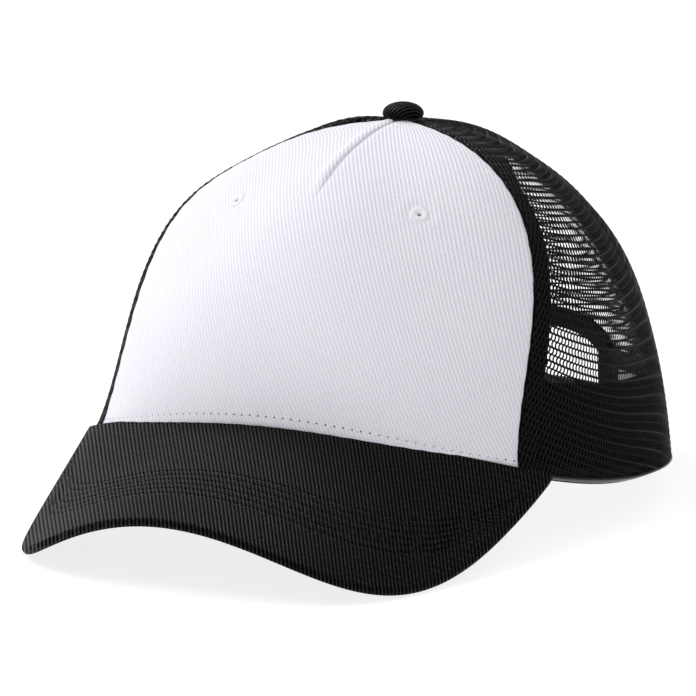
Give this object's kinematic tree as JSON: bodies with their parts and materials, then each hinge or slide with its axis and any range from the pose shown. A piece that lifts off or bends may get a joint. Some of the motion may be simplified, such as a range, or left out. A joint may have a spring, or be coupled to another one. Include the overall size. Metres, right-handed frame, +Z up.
{
  "type": "trucker mesh cap",
  "caption": "Cap with a stiff twill front, open mesh sides and back, a curved visor, and a snap strap closure that swings open across the rear arch.",
  "frame": {"origin": "centre of the bounding box on the table that the cap rests on", "axes": "+Z up, the cap faces -Y, the wearer's left is +X"},
  "size_m": [0.198, 0.2641, 0.1276],
  "materials": {
    "white_twill": "woven white cotton and polyester twill, matt",
    "black_twill": "woven black twill, matt",
    "black_mesh": "knitted black polyester net, slightly glossy yarn",
    "buckram": "stiffened open weave",
    "seam_tape": "woven tape",
    "binding_tape": "folded twill tape",
    "sweatband_cotton": "brushed cotton twill",
    "label_satin": "plain satin, no print",
    "white_thread": "polyester sewing thread",
    "black_thread": "polyester sewing thread",
    "visor_plastic": "polyethylene sheet",
    "snap_plastic": "moulded polyethylene, satin",
    "button_steel": "pressed and plated"
  },
  "bodies": {
    "cap": {"arch_binding": "binding_tape", "back_mesh_left": "black_mesh", "back_mesh_right": "black_mesh", "back_seam_tape": "seam_tape", "blank_label": "label_satin", "button_cap": "black_twill", "button_prong": "button_steel", "eyelet_left": "white_thread", "eyelet_right": "white_thread", "front_hem_stitching": "white_thread", "front_panel": "white_twill", "front_panel_backing": "buckram", "front_seam_stitching_left": "white_thread", "front_seam_stitching_right": "white_thread", "front_seam_tape_left": "seam_tape", "front_seam_tape_right": "seam_tape", "hole_strap_tab": "snap_plastic", "peg_strap_tab": "snap_plastic", "side_mesh_left": "black_mesh", "side_mesh_right": "black_mesh", "side_seam_tape_left": "seam_tape", "side_seam_tape_right": "seam_tape", "sweatband": "sweatband_cotton", "visor_board": "visor_plastic", "visor_bottom_cloth": "black_twill", "visor_stitching": "black_thread", "visor_top_cloth": "black_twill"},
    "outer_strap": {"hole_strap": "snap_plastic"},
    "inner_strap": {"peg_strap": "snap_plastic"}
  },
  "joints": [
    {"name": "hole_strap_swing", "type": "hinge", "parent": "cap", "child": "outer_strap", "pos_m": [0.03019, 0.11843, 0.00154], "axis": [0.0021, -0.15, -0.9887], "range_deg": [0, 55], "stiffness_Nm_per_rad": 0.02},
    {"name": "peg_strap_swing", "type": "hinge", "parent": "cap", "child": "inner_strap", "pos_m": [-0.03019, 0.11843, 0.00154], "axis": [-0.0021, -0.15, -0.9887], "range_deg": [0, 35], "stiffness_Nm_per_rad": 0.02}
  ]
}
